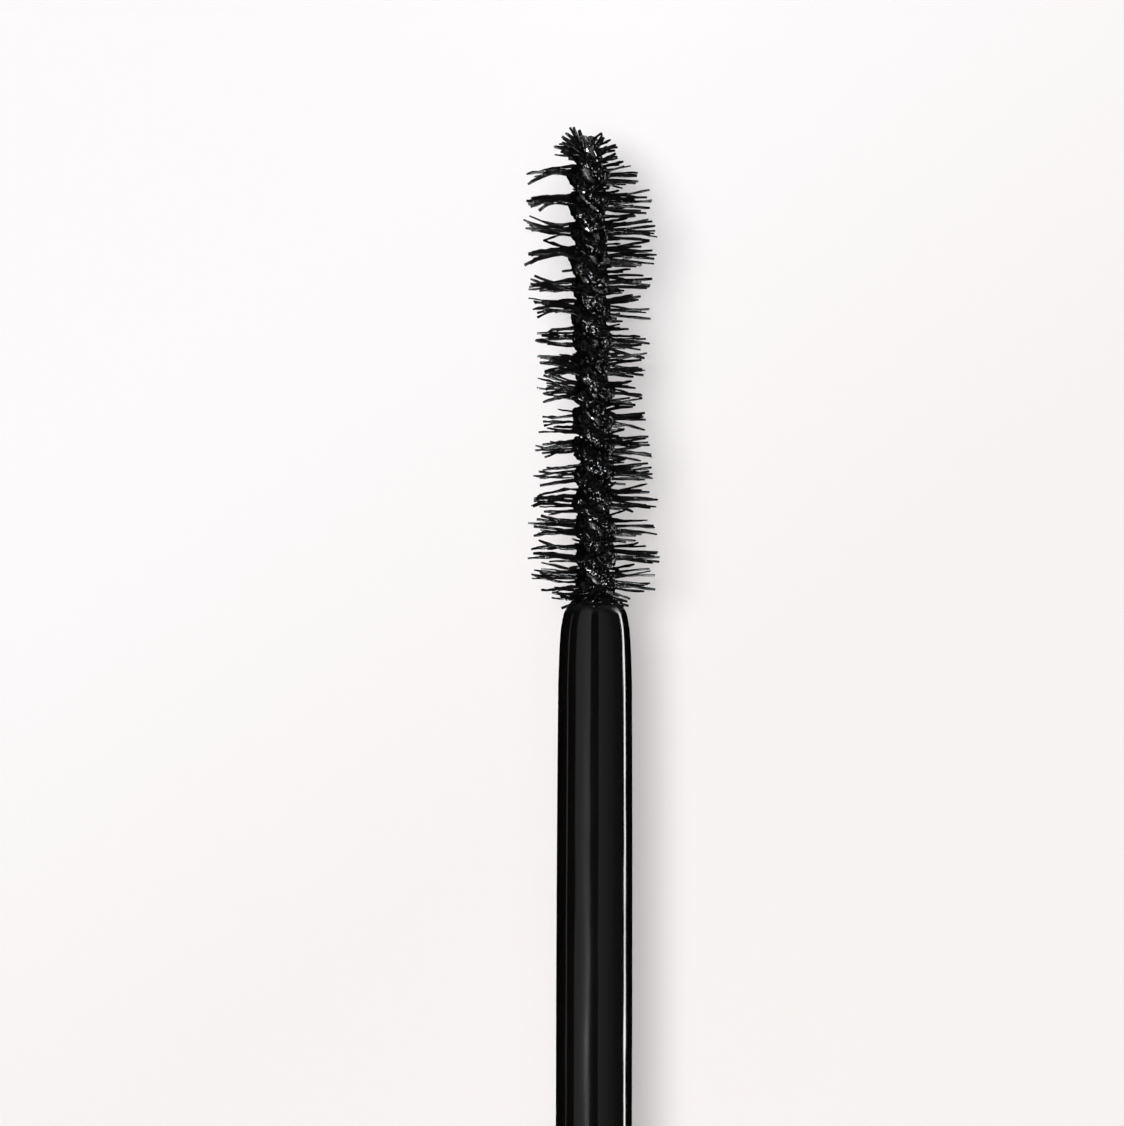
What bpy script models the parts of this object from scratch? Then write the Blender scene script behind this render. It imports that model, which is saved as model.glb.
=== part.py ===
"""A mascara: a screw cap with its rod and twisted-wire brush, drawn out of the tube it closes.

Everything lies on one axis along X, with the cap at -X and the tube's base at +X, resting on z = 0.
The wand is drawn out at rest. Units are metres.
"""

import math

import bmesh
import bpy
from mathutils import Matrix, Vector

# ---- driving dimensions -------------------------------------------------------------------------

# Outside of the cap and the tube
OUTER_D = 0.0170
CAP_LENGTH = 0.0460
CAP_WALL = 0.0010
CAP_END_WALL = 0.0016
END_ROUND = 0.0012

# Rod and brush
ROD_D = 0.00414
ROD_TIP_D = 0.00350
ROD_NOSE = 0.0042
ROD_REACH = 0.0450
ROD_IN_SOCKET = 0.0080
ROD_FLANGE_T = 0.0008
BRUSH_LENGTH = 0.0260
BRUSH_D = 0.0073
BRUSH_WAIST_D = 0.0058
BRUSH_TIP_TAPER = 0.0040
WIRE_D = 0.00060
WIRE_LEAD = 0.00294
WIRE_IN_ROD = 0.0050

# Closure
NECK_LENGTH = 0.0125
NECK_D = 0.0110
NECK_WALL = 0.0010
THREAD_DEPTH = 0.0005
THREAD_LEAD = 0.0030
THREAD_TURNS = 1.5
LINER_WALL = 0.0008
LINER_ROOF = 0.0012
WASHER_T = 0.0008

# Wiper
WIPER_WALL = 0.0006
WIPER_LENGTH = 0.0070
WIPER_CONE = 0.0030
WIPER_LIP = 0.0010
WIPER_FLANGE_T = 0.0006

# Tube
SLEEVE_WALL = 0.0010
COLLAR_LENGTH = 0.0025
BOTTLE_WALL = 0.0011
BOTTLE_FLOOR = 0.0012
BASE_FLANGE = 0.0015
BASE_SPIGOT = 0.0030
BASE_ROUND = 0.0006
BASE_DISH = 0.0004
FORMULA_FLOOR = 0.0012
FORMULA_HEADROOM = 0.0020

# Clearances
GAP = 0.0003
SEAT_GAP = 0.0003
SLIP = 0.0002
THREAD_CLEARANCE = 0.00015
WIPER_CLEARANCE = 0.00012
TIP_CLEARANCE = 0.0015
BRUSH_CLEARANCE = 0.0005
FLANGE_CLEARANCE = 0.0005
REST_GAP = 0.0140

# Faceting
SIDES = 32
ROUND_STEPS = 3

# ---- sizes that follow from them ----------------------------------------------------------------

OUTER_R = OUTER_D / 2
AXIS_Z = OUTER_R * math.cos(math.pi / SIDES)
CAP_BORE_R = OUTER_R - CAP_WALL
LINER_R = CAP_BORE_R - SLIP
NECK_R = NECK_D / 2
NECK_CREST_R = NECK_R + THREAD_DEPTH
LINER_CREST_R = NECK_CREST_R + THREAD_CLEARANCE
LINER_BORE_R = max(LINER_CREST_R + THREAD_DEPTH, LINER_R - LINER_WALL)
NECK_BORE_R = NECK_R - NECK_WALL
WIPER_R = NECK_BORE_R - SLIP
WIPER_BORE_R = WIPER_R - WIPER_WALL
ROD_FLANGE_R = WIPER_BORE_R - FLANGE_CLEARANCE
WASHER_R = NECK_R - GAP
ROD_R = ROD_D / 2
SOCKET_BORE_R = ROD_R + SLIP
SOCKET_R = SOCKET_BORE_R + 0.0010
LIP_R = ROD_R + WIPER_CLEARANCE
WIRE_R = WIRE_D / 2
CORE_R = WIRE_D
BOTTLE_R = OUTER_R - SLEEVE_WALL - SLIP
RESERVOIR_R = BOTTLE_R - BOTTLE_WALL
FLANGE_STACK = GAP + WIPER_FLANGE_T
LINER_DEPTH = NECK_LENGTH + FLANGE_STACK + GAP + WASHER_T + GAP - SEAT_GAP
WAND_REACH = ROD_REACH + BRUSH_LENGTH
INNER_DEPTH = WAND_REACH - SEAT_GAP + TIP_CLEARANCE + FORMULA_FLOOR + GAP
BODY_LENGTH = INNER_DEPTH + BOTTLE_FLOOR + GAP + BASE_SPIGOT + BASE_FLANGE
LENGTH = CAP_LENGTH + WAND_REACH + REST_GAP + NECK_LENGTH + BODY_LENGTH

# ---- places along the axis, at rest -------------------------------------------------------------

X_CAP_END = -LENGTH / 2
X_RIM = X_CAP_END + CAP_LENGTH
X_ROOF = X_RIM - LINER_DEPTH
X_ROD_TIP = X_RIM + ROD_REACH
X_BRUSH_TIP = X_ROD_TIP + BRUSH_LENGTH
X_NECK_RIM = X_BRUSH_TIP + REST_GAP
X_SHOULDER = X_NECK_RIM + NECK_LENGTH
X_BODY = X_SHOULDER + COLLAR_LENGTH + GAP
X_RESERVOIR = X_BODY + BOTTLE_WALL
X_BASE = X_SHOULDER + BODY_LENGTH
X_BASE_FLANGE = X_BASE - BASE_FLANGE
X_BOTTLE_END = X_BASE_FLANGE - BASE_SPIGOT - GAP
TRAVEL = X_SHOULDER - SEAT_GAP - X_RIM


# ---- tools --------------------------------------------------------------------------------------

def clear_scene():
    for thing in list(bpy.data.objects):
        bpy.data.objects.remove(thing, do_unlink=True)


def finish_material(name, color, roughness, metallic=0.0):
    material = bpy.data.materials.new(name)
    material.use_nodes = True
    shader = material.node_tree.nodes["Principled BSDF"]
    shader.inputs["Base Color"].default_value = (*color, 1.0)
    shader.inputs["Roughness"].default_value = roughness
    shader.inputs["Metallic"].default_value = metallic
    return material


def place(name, mesh, material, parent):
    """Put a mesh that is drawn in world places on an object whose origin is its parent's axis point."""
    mesh.transform(Matrix.Translation(-parent.location))
    mesh.materials.append(material)
    mesh.shade_smooth()
    mesh.set_sharp_from_angle(angle=math.radians(30))
    thing = bpy.data.objects.new(name, mesh)
    bpy.context.scene.collection.objects.link(thing)
    thing.parent = parent
    return thing


def axis_point(name, x):
    """An empty on the common axis, which carries a body's pieces and marks its joint."""
    point = bpy.data.objects.new(name, None)
    point.location = (x, 0.0, AXIS_Z)
    point.empty_display_size = 0.01
    bpy.context.scene.collection.objects.link(point)
    return point


def turned_mesh(name, outline):
    """Turn a closed outline of (x, radius) points about the axis, with a flat facing down."""
    bm = bmesh.new()
    half_step = math.pi / SIDES
    points = [
        bm.verts.new((x, r * math.sin(half_step), -r * math.cos(half_step)))
        for x, r in outline
    ]
    edges = []
    for i, near in enumerate(points):
        far = points[(i + 1) % len(points)]
        on_axis = outline[i][1] == 0.0 and outline[(i + 1) % len(points)][1] == 0.0
        if not on_axis:
            edges.append(bm.edges.new((near, far)))
    bmesh.ops.spin(
        bm,
        geom=points + edges,
        cent=(0, 0, 0),
        axis=(1, 0, 0),
        dvec=(0, 0, 0),
        angle=math.tau,
        steps=SIDES,
        use_merge=True,
        use_duplicate=False,
    )
    bmesh.ops.remove_doubles(bm, verts=bm.verts, dist=0.000002)
    bmesh.ops.dissolve_degenerate(bm, edges=bm.edges, dist=0.000001)
    bmesh.ops.recalc_face_normals(bm, faces=bm.faces)
    mesh = bpy.data.meshes.new(name)
    bm.to_mesh(mesh)
    bm.free()
    mesh.transform(Matrix.Translation((0, 0, AXIS_Z)))
    return mesh


def turned(name, outline, material, parent):
    return place(name, turned_mesh(name, outline), material, parent)


def rounded(x, r, x_in, r_in, size):
    """The points of a quarter round at the corner (x, r), from its outer wall to its end face.

    x_in and r_in are the signs that lead into the material.
    """
    points = []
    for i in range(ROUND_STEPS + 1):
        turn = math.pi / 2 * i / ROUND_STEPS
        x_off = size * (1 - math.sin(turn))
        r_off = size * (1 - math.cos(turn))
        points.append((x + x_in * x_off, r + r_in * r_off))
    return points


def thread_ridge(name, start, radius, height, material, parent):
    """A helical ridge that grows from a root inside the wall, out to radius + height.

    A negative height makes an inside thread. The ridge runs out to nothing at both ends.
    """
    steps = int(SIDES * THREAD_TURNS)
    root = -0.6 * math.copysign(min(abs(height), NECK_WALL / 2), height)
    foot = 0.0006
    crest = 0.00025
    run_out = SIDES / 4
    bm = bmesh.new()
    rings = []
    for i in range(steps + 1):
        turn = math.tau * i / SIDES
        x = start + THREAD_LEAD * i / SIDES
        rise = min(1.0, i / run_out, (steps - i) / run_out)
        top = radius + height * (0.02 + 0.98 * rise)
        section = (
            (x - foot, radius + root),
            (x - foot, radius),
            (x - crest, top),
            (x + crest, top),
            (x + foot, radius),
            (x + foot, radius + root),
        )
        rings.append(
            [
                bm.verts.new((px, r * math.sin(turn), AXIS_Z - r * math.cos(turn)))
                for px, r in section
            ]
        )
    for near, far in zip(rings, rings[1:]):
        for k in range(len(near)):
            after = (k + 1) % len(near)
            bm.faces.new((near[k], near[after], far[after], far[k]))
    bm.faces.new(rings[0])
    bm.faces.new(rings[-1])
    bmesh.ops.recalc_face_normals(bm, faces=bm.faces)
    mesh = bpy.data.meshes.new(name)
    bm.to_mesh(mesh)
    bm.free()
    ridge = place(name, mesh, material, parent)
    ridge.hide_render = True
    ridge.display_type = "WIRE"
    return ridge


def join_ridge(thing, ridge):
    union = thing.modifiers.new("thread", "BOOLEAN")
    union.operation = "UNION"
    union.solver = "EXACT"
    union.object = ridge


# ---- the wand -----------------------------------------------------------------------------------

def make_cap_shell(material, wand):
    """The outer cap: a deep cup with a rounded closed end and a recess for its end disc."""
    disc_recess = 0.0006
    disc_r = OUTER_R - CAP_WALL - END_ROUND
    outline = [(X_CAP_END + disc_recess, 0.0), (X_CAP_END + disc_recess, disc_r), (X_CAP_END, disc_r)]
    outline += list(reversed(rounded(X_CAP_END, OUTER_R, 1, -1, END_ROUND)))
    outline += [
        (X_RIM, OUTER_R),
        (X_RIM, CAP_BORE_R),
        (X_CAP_END + disc_recess + CAP_END_WALL, CAP_BORE_R),
        (X_CAP_END + disc_recess + CAP_END_WALL, 0.0),
    ]
    turned("cap_shell", outline, material, wand)


def make_cap_end_disc(material, wand):
    """The thin inlay that fills the recess in the cap's closed end."""
    disc_r = OUTER_R - CAP_WALL - END_ROUND - SLIP
    outline = [
        (X_CAP_END, 0.0),
        (X_CAP_END, disc_r),
        (X_CAP_END + 0.0003, disc_r),
        (X_CAP_END + 0.0003, 0.0),
    ]
    turned("cap_end_disc", outline, material, wand)


def make_cap_liner(material, wand):
    """The inner cap: a threaded skirt, a roof, and the blind socket that grips the rod."""
    socket_end = X_ROOF - LINER_ROOF - ROD_IN_SOCKET
    outline = [
        (X_RIM - SLIP, LINER_R),
        (X_RIM - SLIP, LINER_BORE_R),
        (X_ROOF, LINER_BORE_R),
        (X_ROOF, SOCKET_BORE_R),
        (socket_end, SOCKET_BORE_R),
        (socket_end, 0.0),
        (socket_end - LINER_ROOF, 0.0),
        (socket_end - LINER_ROOF, SOCKET_R),
        (X_ROOF - LINER_ROOF, SOCKET_R),
        (X_ROOF - LINER_ROOF, LINER_R),
    ]
    liner = turned("cap_liner", outline, material, wand)
    thread_start = X_RIM - LINER_DEPTH / 2 - THREAD_LEAD * THREAD_TURNS / 2
    depth = LINER_BORE_R - LINER_CREST_R
    ridge = thread_ridge("liner_thread_guide", thread_start, LINER_BORE_R, -depth, material, wand)
    join_ridge(liner, ridge)


def make_seal_washer(material, carriage):
    """The loose gasket that seats on the wiper's flange and lets the cap turn over it."""
    low = X_ROOF + GAP
    outline = [
        (low, ROD_R + SLIP),
        (low, WASHER_R),
        (low + WASHER_T, WASHER_R),
        (low + WASHER_T, ROD_R + SLIP),
    ]
    turned("seal_washer", outline, material, carriage)


def make_rod(material, wand):
    """The stem: a butt in the socket, a flange under the washer, and a nose bored for the wire."""
    flange = X_ROOF + GAP + WASHER_T + GAP
    butt = X_ROOF - LINER_ROOF - ROD_IN_SOCKET + GAP
    bore_r = CORE_R + SLIP
    bore_end = X_ROD_TIP - WIRE_IN_ROD - GAP
    tip_r = ROD_TIP_D / 2
    nose_round = 0.00045
    outline = [
        (butt, 0.0),
        (butt, ROD_R),
        (flange, ROD_R),
        (flange, ROD_FLANGE_R),
        (flange + ROD_FLANGE_T, ROD_FLANGE_R),
        (flange + ROD_FLANGE_T, ROD_R),
        (X_ROD_TIP - ROD_NOSE, ROD_R - 0.00004),
        (X_ROD_TIP - ROD_NOSE / 2, ROD_R - 0.00014),
    ]
    outline += rounded(X_ROD_TIP, tip_r, -1, -1, nose_round)
    outline += [(X_ROD_TIP, bore_r), (bore_end, bore_r), (bore_end, 0.0)]
    turned("rod", outline, material, wand)


def make_brush_core(material, wand):
    """Two wires twisted together: a figure of eight carried round as it runs along the axis."""
    start = X_ROD_TIP - WIRE_IN_ROD
    length = WIRE_IN_ROD + BRUSH_LENGTH - 0.0007
    turns = length / WIRE_LEAD
    steps = round(turns * 9)
    lobe = [math.radians(a) for a in (-108, -54, 0, 54, 108)]
    section = [(WIRE_R + WIRE_R * math.cos(a), WIRE_R * math.sin(a)) for a in lobe]
    section += [(-a, -b) for a, b in section]
    bm = bmesh.new()
    rings = []
    for i in range(steps + 1):
        x = start + length * i / steps
        spin = -math.tau * turns * i / steps
        turn = Matrix.Rotation(spin, 3, "X")
        ring = [turn @ Vector((0.0, a, b)) for a, b in section]
        rings.append([bm.verts.new((x, p.y, p.z + AXIS_Z)) for p in ring])
    for near, far in zip(rings, rings[1:]):
        for k in range(len(near)):
            after = (k + 1) % len(near)
            bm.faces.new((near[k], near[after], far[after], far[k]))
    bm.faces.new(rings[0])
    bm.faces.new(rings[-1])
    bmesh.ops.recalc_face_normals(bm, faces=bm.faces)
    mesh = bpy.data.meshes.new("brush_core")
    bm.to_mesh(mesh)
    bm.free()
    place("brush_core", mesh, material, wand)


def brush_radius(along):
    """The envelope of the bristle tips, waisted between two wide ends, with a rounded tip."""
    wide = BRUSH_D / 2
    waist = BRUSH_WAIST_D / 2
    low = 0.0016
    high = BRUSH_LENGTH - BRUSH_TIP_TAPER
    if along < low:
        return waist + (wide - waist) * math.sqrt(max(0.0, along / low))
    if along > high:
        u = (along - high) / BRUSH_TIP_TAPER
        return max(0.0009, wide * math.sqrt(max(0.0, 1 - u**2.6)))
    swing = math.cos(math.tau * (along - low) / (high - low))
    return waist + (wide - waist) * (1 + swing) / 2


def make_brush_bristles(material, wand):
    """The bristles as one plain solid: the space that their tips sweep, bored for the core."""
    bore_r = CORE_R + 0.00018
    start = X_ROD_TIP + GAP
    end = X_BRUSH_TIP
    steps = 16
    places = [i / steps for i in range(steps + 1)] + [0.965, 0.985]
    places.sort()
    outline = [(start, bore_r)]
    for u in places:
        along = (end - start) * u
        outline.append((start + along, brush_radius(along)))
    outline.append((end, bore_r))
    turned("brush_bristles", outline, material, wand)


# ---- the tube -----------------------------------------------------------------------------------

def make_tube_sleeve(material, tube):
    """The outer sleeve: a plain drawn tube between the collar and the base plug."""
    end = X_BASE_FLANGE - GAP
    outline = [
        (X_BODY, OUTER_R),
        (X_BODY, OUTER_R - SLEEVE_WALL),
        (end, OUTER_R - SLEEVE_WALL),
        (end, OUTER_R),
    ]
    turned("tube_sleeve", outline, material, tube)


def make_shoulder_collar(material, tube):
    """The trim ring on the bottle's shoulder that the cap's rim closes onto."""
    end = X_SHOULDER + COLLAR_LENGTH
    outline = [
        (X_SHOULDER, NECK_R + SLIP),
        (X_SHOULDER, OUTER_R),
        (end, OUTER_R),
        (end, NECK_R + SLIP),
    ]
    turned("shoulder_collar", outline, material, tube)


def make_bottle(material, tube):
    """The blow-moulded inner bottle: threaded neck, flat shoulder, reservoir and closed end."""
    outline = [
        (X_NECK_RIM, NECK_BORE_R),
        (X_NECK_RIM, NECK_R),
        (X_BODY, NECK_R),
        (X_BODY, BOTTLE_R),
        (X_BOTTLE_END, BOTTLE_R),
        (X_BOTTLE_END, 0.0),
        (X_BOTTLE_END - BOTTLE_FLOOR, 0.0),
        (X_BOTTLE_END - BOTTLE_FLOOR, RESERVOIR_R),
        (X_RESERVOIR, RESERVOIR_R),
        (X_RESERVOIR, NECK_BORE_R),
    ]
    bottle = turned("bottle", outline, material, tube)
    thread_start = X_NECK_RIM + NECK_LENGTH / 2 - THREAD_LEAD * THREAD_TURNS / 2
    ridge = thread_ridge("neck_thread_guide", thread_start, NECK_R, THREAD_DEPTH, material, tube)
    join_ridge(bottle, ridge)


def make_wiper(material, tube):
    """The soft insert in the neck: a flange on the rim, a sleeve, and a cone down to the lip."""
    flange = X_NECK_RIM - GAP - WIPER_FLANGE_T
    cone = X_NECK_RIM + WIPER_LENGTH
    lip = cone + WIPER_CONE
    end = lip + WIPER_LIP
    outline = [
        (flange, WIPER_BORE_R),
        (flange, NECK_R - SLIP),
        (flange + WIPER_FLANGE_T, NECK_R - SLIP),
        (flange + WIPER_FLANGE_T, WIPER_R),
        (cone, WIPER_R),
        (lip, LIP_R + WIPER_WALL),
        (end, LIP_R + WIPER_WALL * 0.7),
        (end, LIP_R),
        (lip, LIP_R),
        (cone, WIPER_BORE_R),
    ]
    turned("wiper", outline, material, tube)


def make_formula(material, tube):
    """The paste that clings to the reservoir, with the hollow that the brush leaves in it."""
    hollow_r = BRUSH_D / 2 + BRUSH_CLEARANCE
    wall_r = RESERVOIR_R - GAP
    start = max(X_RESERVOIR, X_NECK_RIM + WIPER_LENGTH + WIPER_CONE + WIPER_LIP) + FORMULA_HEADROOM
    floor = X_BOTTLE_END - BOTTLE_FLOOR - GAP
    outline = [
        (start, hollow_r),
        (start, wall_r),
        (floor, wall_r),
        (floor, 0.0),
        (floor - FORMULA_FLOOR, 0.0),
        (floor - FORMULA_FLOOR, hollow_r),
    ]
    turned("formula", outline, material, tube)


def make_base_plug(material, tube):
    """The plug that closes the sleeve: a flange with a shallow dish, and a spigot."""
    spigot_r = OUTER_R - SLEEVE_WALL - SLIP
    dish_r = OUTER_R * 0.55
    start = X_BASE_FLANGE - BASE_SPIGOT
    outline = [(start, 0.0), (start, spigot_r), (X_BASE_FLANGE, spigot_r), (X_BASE_FLANGE, OUTER_R)]
    outline += rounded(X_BASE, OUTER_R, -1, -1, BASE_ROUND)
    outline += [(X_BASE, dish_r), (X_BASE - BASE_DISH, dish_r - BASE_DISH), (X_BASE - BASE_DISH, 0.0)]
    turned("base_plug", outline, material, tube)


# ---- assembly -----------------------------------------------------------------------------------

clear_scene()

gloss_black = finish_material("gloss_black", (0.010, 0.010, 0.011), 0.12)
rod_black = finish_material("rod_black", (0.012, 0.011, 0.012), 0.16)
bristle_black = finish_material("bristle_black", (0.008, 0.008, 0.009), 0.40)
wire_steel = finish_material("wire_steel", (0.10, 0.10, 0.105), 0.30, 1.0)
trim_metal = finish_material("trim_metal", (0.42, 0.40, 0.39), 0.28, 1.0)
liner_white = finish_material("liner_white", (0.78, 0.78, 0.76), 0.45)
bottle_black = finish_material("bottle_black", (0.015, 0.015, 0.016), 0.30)
wiper_clear = finish_material("wiper_clear", (0.55, 0.55, 0.53), 0.40)
paste_black = finish_material("paste_black", (0.004, 0.004, 0.005), 0.25)

tube = axis_point("tube_axis", X_BASE)
carriage = axis_point("pull_out_axis", X_RIM)
wand = axis_point("unscrew_axis", X_RIM)

make_cap_shell(gloss_black, wand)
make_cap_end_disc(trim_metal, wand)
make_cap_liner(liner_white, wand)
make_seal_washer(liner_white, carriage)
make_rod(rod_black, wand)
make_brush_core(wire_steel, wand)
make_brush_bristles(bristle_black, wand)
make_tube_sleeve(gloss_black, tube)
make_shoulder_collar(trim_metal, tube)
make_bottle(bottle_black, tube)
make_wiper(wiper_clear, tube)
make_formula(paste_black, tube)
make_base_plug(gloss_black, tube)
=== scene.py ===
import math
import random

import bpy
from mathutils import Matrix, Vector


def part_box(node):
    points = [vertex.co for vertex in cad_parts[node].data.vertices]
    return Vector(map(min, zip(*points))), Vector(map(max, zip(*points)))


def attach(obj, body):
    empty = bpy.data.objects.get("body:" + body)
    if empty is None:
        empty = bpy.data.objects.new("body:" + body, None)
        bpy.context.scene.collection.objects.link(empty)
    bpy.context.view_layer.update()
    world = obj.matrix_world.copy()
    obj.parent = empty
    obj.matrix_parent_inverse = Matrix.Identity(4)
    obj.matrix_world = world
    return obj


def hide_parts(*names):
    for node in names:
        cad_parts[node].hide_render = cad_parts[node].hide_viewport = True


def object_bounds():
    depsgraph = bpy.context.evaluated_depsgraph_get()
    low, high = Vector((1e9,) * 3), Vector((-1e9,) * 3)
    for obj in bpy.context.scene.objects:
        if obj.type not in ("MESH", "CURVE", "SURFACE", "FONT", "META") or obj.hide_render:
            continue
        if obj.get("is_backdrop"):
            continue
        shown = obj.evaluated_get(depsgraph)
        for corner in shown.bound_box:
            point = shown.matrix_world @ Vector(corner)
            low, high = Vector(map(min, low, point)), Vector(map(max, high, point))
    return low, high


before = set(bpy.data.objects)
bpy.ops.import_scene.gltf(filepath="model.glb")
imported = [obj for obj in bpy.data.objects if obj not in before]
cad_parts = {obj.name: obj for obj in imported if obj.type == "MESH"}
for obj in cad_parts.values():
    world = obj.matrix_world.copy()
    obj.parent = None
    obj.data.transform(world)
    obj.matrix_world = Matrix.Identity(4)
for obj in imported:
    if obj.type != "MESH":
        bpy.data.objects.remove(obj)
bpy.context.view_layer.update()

# ---- Tube sleeve ---------------------------------------------------------------------------------
# The outside of the tube: a plain extruded plastic tube in high-gloss black, parted off square, with
# its two edges broken. It is pushed over the bottle and held between the collar and the base plug.

sleeve_low, sleeve_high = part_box("tube_sleeve")
AXIS_Z = (sleeve_low.z + sleeve_high.z) / 2
OUTER_R = AXIS_Z - sleeve_low.z
EDGE_BREAK = 0.00012
ROUND_STEPS = 128
SLEEVE_WALL = 0.0010


def deselect_all():
    if bpy.context.object and bpy.context.object.mode != "OBJECT":
        bpy.ops.object.mode_set(mode="OBJECT")
    bpy.ops.object.select_all(action="DESELECT")


def name_and_place(name):
    """Name the active object and put its place into its mesh."""
    piece = bpy.context.object
    piece.name = name
    piece.data.name = name
    bpy.ops.object.transform_apply(location=True, rotation=True, scale=True)
    return piece


def apply_all(piece):
    for modifier in list(piece.modifiers):
        bpy.ops.object.modifier_apply(modifier=modifier.name)


def smooth_with_flats(piece, smooth):
    """Shade round edges smooth and keep what is flat, or straight along the axis, truly flat."""
    bpy.ops.object.shade_smooth_by_angle(angle=math.radians(smooth))
    flats = piece.modifiers.new("flats", "WEIGHTED_NORMAL")
    flats.keep_sharp = True
    apply_all(piece)


def turned(name, outline, ring=False, edge=EDGE_BREAK, smooth=30):
    """Draw a ring of edges out along an outline of (x, radius) points, as on a lathe.

    A ring closes on its own start; any other outline is closed by a face at each end.
    """
    deselect_all()
    (x, r), *rest = outline
    bpy.ops.mesh.primitive_circle_add(
        vertices=ROUND_STEPS, radius=r, location=(x, 0, AXIS_Z), rotation=(0, math.pi / 2, 0)
    )
    bpy.ops.object.mode_set(mode="EDIT")
    bpy.ops.mesh.select_all(action="SELECT")
    for next_x, next_r in rest:
        bpy.ops.mesh.extrude_region_move(TRANSFORM_OT_translate={"value": (next_x - x, 0, 0)})
        if next_r != r:
            bpy.ops.transform.resize(
                value=(1, next_r / r, next_r / r), center_override=(next_x, 0, AXIS_Z)
            )
        x, r = next_x, next_r
    bpy.ops.mesh.select_all(action="SELECT")
    bpy.ops.mesh.select_non_manifold(extend=False)
    if ring:
        bpy.ops.mesh.bridge_edge_loops()
    else:
        bpy.ops.mesh.fill_holes(sides=0)
    bpy.ops.mesh.select_all(action="SELECT")
    bpy.ops.mesh.normals_make_consistent(inside=False)
    bpy.ops.object.mode_set(mode="OBJECT")
    piece = name_and_place(name)
    if edge:
        bevel = piece.modifiers.new("edge", "BEVEL")
        bevel.width = edge
        bevel.segments = 3
        bevel.limit_method = "ANGLE"
        bevel.angle_limit = math.radians(40)
        apply_all(piece)
        smooth_with_flats(piece, smooth)
    else:
        bpy.ops.object.shade_smooth_by_angle(angle=math.radians(smooth))
    return piece


class Value:
    """A socket that carries a number. An expression on values adds the Math nodes it needs."""

    def __init__(self, tree, socket):
        self.tree = tree
        self.socket = socket

    def math(self, operation, *terms):
        node = self.tree.nodes.new("ShaderNodeMath")
        node.operation = operation
        for slot, term in zip(node.inputs, terms):
            if isinstance(term, Value):
                self.tree.links.new(term.socket, slot)
            else:
                slot.default_value = term
        return Value(self.tree, node.outputs[0])

    def __add__(self, other):
        return self.math("ADD", self, other)

    def __sub__(self, other):
        return self.math("SUBTRACT", self, other)

    def __rsub__(self, other):
        return self.math("SUBTRACT", other, self)

    def __mul__(self, other):
        return self.math("MULTIPLY", self, other)

    def __truediv__(self, other):
        return self.math("DIVIDE", self, other)

    def __pow__(self, other):
        return self.math("POWER", self, other)

    __radd__ = __add__
    __rmul__ = __mul__

    def clamped(self):
        return self.math("MINIMUM", self.math("MAXIMUM", self, 0.0), 1.0)

    def step_up(self, low, high):
        """0 below low, 1 above high, and a straight ramp between them."""
        return ((self - low) / (high - low)).clamped()


class Finish:
    """One material: its shader's own constants, and the values that change over its surface."""

    def __init__(self, name, color, roughness, **constants):
        self.material = bpy.data.materials.new(name)
        self.material.use_nodes = True
        self.tree = self.material.node_tree
        self.shader = self.tree.nodes["Principled BSDF"]
        self.shader.inputs["Base Color"].default_value = (*color, 1)
        self.shader.inputs["Roughness"].default_value = roughness
        for socket, value in constants.items():
            self.shader.inputs[socket.replace("_", " ")].default_value = value
        coordinates = self.tree.nodes.new("ShaderNodeTexCoord")
        self.place = coordinates.outputs["Object"]

    def node(self, kind, output=0, settings=None, **sockets):
        """Add a node with its settings, then its sockets' values or links, and return an output."""
        node = self.tree.nodes.new(kind)
        for name, value in (settings or {}).items():
            setattr(node, name, value)
        for name, value in sockets.items():
            slot = node.inputs[int(name[1:]) if name[1:].isdigit() else name.replace("_", " ")]
            if isinstance(value, Value):
                self.tree.links.new(value.socket, slot)
            elif isinstance(value, bpy.types.NodeSocket):
                self.tree.links.new(value, slot)
            else:
                slot.default_value = value
        made = node.outputs[output]
        return Value(self.tree, made) if made.type == "VALUE" else made

    def noise(self, scale, stretch=(1, 1, 1), detail=3.0, rough=0.5):
        """Noise of a size per metre, stretched along the axes."""
        mapped = self.node("ShaderNodeMapping", Vector=self.place, Scale=stretch)
        return self.node(
            "ShaderNodeTexNoise", 0, Vector=mapped, Scale=scale, Detail=detail, Roughness=rough
        )

    def along(self, axis=0):
        """The place along the common axis, or across it with axis 1, or up with axis 2."""
        return self.node("ShaderNodeSeparateXYZ", axis, Vector=self.place)

    def radius(self):
        """The distance from the common axis."""
        across = self.along(1)
        up = self.along(2) - AXIS_Z
        return (across * across + up * up) ** 0.5

    def mix(self, factor, one, other):
        """A colour between two."""
        return self.node(
            "ShaderNodeMix", 2, {"data_type": "RGBA"}, _0=factor, _6=(*one, 1), _7=(*other, 1)
        )

    def feed(self, **sockets):
        """Link values to the shader's own sockets."""
        for name, value in sockets.items():
            source = value.socket if isinstance(value, Value) else value
            self.tree.links.new(source, self.shader.inputs[name.replace("_", " ")])

    def bump(self, height, distance):
        """Raise the surface by a height of 0 to 1, times a distance."""
        normal = self.node("ShaderNodeBump", 0, Height=height, Distance=distance, Strength=1.0)
        self.tree.links.new(normal, self.shader.inputs["Normal"])


def dress(piece, finish, slot, body, *nodes):
    """Give a piece its finish and its body, and hide the plain parts that it stands in for. The slot is
    not used.
    """
    piece.data.materials.clear()
    piece.data.materials.append(finish.material)
    if nodes:
        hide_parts(*nodes)
    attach(piece, body)


GLOSS_BLACK = (0.0021, 0.0020, 0.0021)


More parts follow.
